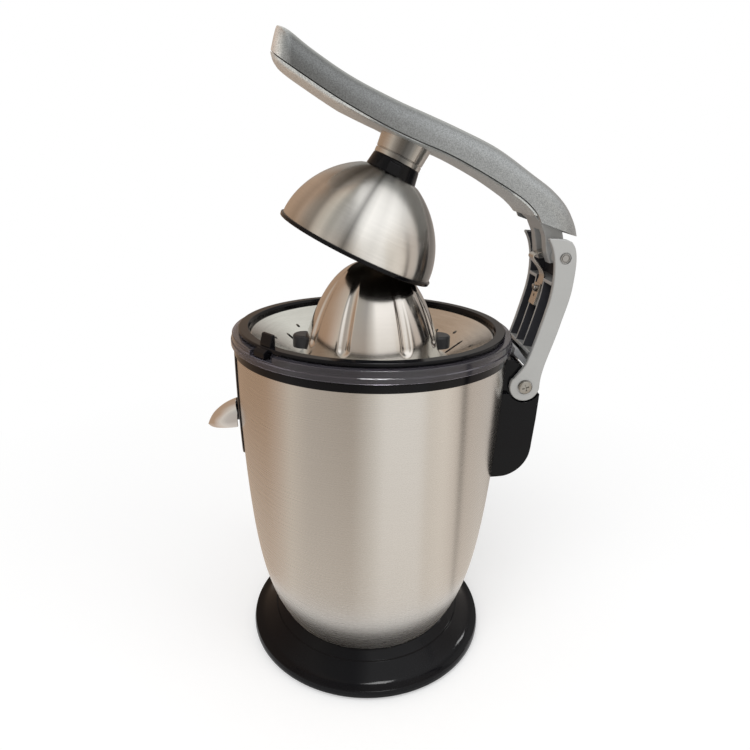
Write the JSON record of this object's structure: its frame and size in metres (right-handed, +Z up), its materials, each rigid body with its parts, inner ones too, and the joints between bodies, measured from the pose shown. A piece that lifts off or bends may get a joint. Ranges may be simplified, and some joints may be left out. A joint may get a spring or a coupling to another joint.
{
  "type": "electric citrus juicer",
  "caption": "Electric citrus juicer: steel body on a round base, fluted reamer in a strainer and bowl, tilting spout, and a hinged lever that presses a dome onto the fruit.",
  "frame": {"origin": "on the reamer's axis, in the plane that the foot ring stands on", "axes": "+Z up; the spout points to -Y, the lever is hinged at +Y, and the picture is taken from +X"},
  "size_m": [0.1656, 0.2143, 0.3645],
  "materials": {
    "black_plastic": "black, glossy",
    "black_matte": "black, satin",
    "rubber": "black rubber",
    "black_rubber": "black rubber",
    "seal_rubber": "grey silicone",
    "steel": "plain steel",
    "brushed_steel": "brushed stainless steel",
    "grey_plastic": "light grey, satin",
    "chrome": "polished",
    "smoked_plastic": "smoked, clear",
    "gear_plastic": "natural white, satin",
    "bronze": "sintered bronze",
    "brass": "plain brass",
    "aluminium": "cast",
    "zinc_steel": "zinc plated",
    "core_steel": "varnished laminations",
    "blue_plastic": "blue",
    "silver_paint": "light silver, satin",
    "silver_sparkle": "silver with a metallic sparkle",
    "spring_steel": "warm spring steel"
  },
  "bodies": {
    "housing": {"base_ring": "black_plastic", "bottom_cover": "black_matte", "foot_ring": "rubber", "cover_screws": "steel", "cord_gland": "black_rubber", "body_shell": "brushed_steel", "inner_liner": "black_plastic", "hinge_bracket": "black_plastic", "bracket_plate": "steel", "bracket_screws": "steel", "arm_stop": "grey_plastic", "spout_plate": "black_plastic", "spout_duct": "black_matte", "drain_seal": "seal_rubber", "spout_pin": "steel", "shaft_seal": "seal_rubber", "upper_bushing": "bronze", "lower_bushing": "bronze", "idler_pin": "steel", "bearing_plate": "aluminium", "gearbox_cover": "black_matte", "gearbox_screws": "steel", "motor_can": "zinc_steel", "motor_stator": "core_steel", "motor_bearings": "steel", "brush_holders": "brass", "motor_screws": "steel", "microswitch": "black_matte", "capacitor": "blue_plastic", "pivot_tube": "steel", "pivot_screws": "steel"},
    "bowl": {"juice_bowl": "smoked_plastic"},
    "strainer": {"splash_ring": "black_plastic", "strainer_dish": "brushed_steel"},
    "press_carriage": {"thrust_collar": "gear_plastic", "return_spring": "steel"},
    "spindle": {"drive_shaft": "steel", "output_gear": "gear_plastic"},
    "reamer": {"reamer_cone": "brushed_steel", "reamer_hub": "black_matte", "pulp_wipers": "black_matte"},
    "idler": {"idler_gear": "gear_plastic"},
    "motor_rotor": {"motor_armature": "core_steel", "motor_shaft": "steel", "motor_pinion": "brass", "cooling_fan": "gear_plastic"},
    "switch_button": {"switch_plunger": "gear_plastic"},
    "spout": {"spout_beak": "chrome"},
    "arm": {"arm_frame": "silver_paint", "upper_pin": "steel", "leaf_spring": "spring_steel", "spring_clip": "spring_steel", "clip_screw": "steel"},
    "handle": {"handle_top": "silver_sparkle", "handle_belly": "silver_paint", "handle_tail": "silver_paint", "neck_tube": "brushed_steel"},
    "dome": {"dome_collar": "black_plastic", "dome_shell": "brushed_steel", "dome_rim": "black_plastic"}
  },
  "joints": [
    {"name": "arm_swing", "type": "hinge", "parent": "housing", "child": "arm", "pos_m": [0, 0.0892, 0.1794], "axis": [-1, 0, 0], "range_deg": [0, 40]},
    {"name": "press_handle", "type": "hinge", "parent": "arm", "child": "handle", "pos_m": [0, 0.1036, 0.2544], "axis": [1, 0, 0], "range_deg": [0, 24.7]},
    {"name": "dome_twist", "type": "hinge", "parent": "handle", "child": "dome", "pos_m": [0, -0.01041, 0.25445], "axis": [0, 0.4179, 0.9085], "range_deg": [0, 30]},
    {"name": "reamer_spin", "type": "hinge", "parent": "press_carriage", "child": "spindle", "pos_m": [0, 0, 0.12], "axis": [0, 0, 1], "continuous": true},
    {"name": "press_start", "type": "slide", "parent": "housing", "child": "press_carriage", "axis": [0, 0, -1], "range_m": [0, 0.0015], "stiffness_N_per_m": 2000, "springref_m": -0.004, "deforming": ["return_spring"]},
    {"name": "reamer_lift", "type": "slide", "parent": "spindle", "child": "reamer", "axis": [0, 0, 1], "range_m": [0, 0.008]},
    {"name": "bowl_lift", "type": "slide", "parent": "housing", "child": "bowl", "axis": [0, 0, 1], "range_m": [0, 0.004]},
    {"name": "strainer_lift", "type": "slide", "parent": "bowl", "child": "strainer", "axis": [0, 0, 1], "range_m": [0, 0.004]},
    {"name": "idler_spin", "type": "hinge", "parent": "housing", "child": "idler", "pos_m": [0.02759, -0.01987, 0.11], "axis": [0, 0, 1], "continuous": true},
    {"name": "motor_spin", "type": "hinge", "parent": "housing", "child": "motor_rotor", "pos_m": [0, -0.034, 0.07], "axis": [0, 0, 1], "continuous": true},
    {"name": "switch_press", "type": "slide", "parent": "housing", "child": "switch_button", "axis": [0, 0, -1], "range_m": [0, 0.0014]},
    {"name": "spout_tilt", "type": "hinge", "parent": "housing", "child": "spout", "pos_m": [0, -0.08503, 0.158], "axis": [-1, 0, 0], "range_deg": [0, 18]}
  ],
  "couplings": [
    {"joint": "idler_spin", "follows": "reamer_spin", "ratio": -4.6667},
    {"joint": "motor_spin", "follows": "reamer_spin", "ratio": 24.267},
    {"joint": "switch_press", "follows": "press_start", "ratio": 0.9},
    {"joint": "bowl_lift", "follows": "reamer_lift", "ratio": 0.4},
    {"joint": "strainer_lift", "follows": "reamer_lift", "ratio": 0.4}
  ]
}
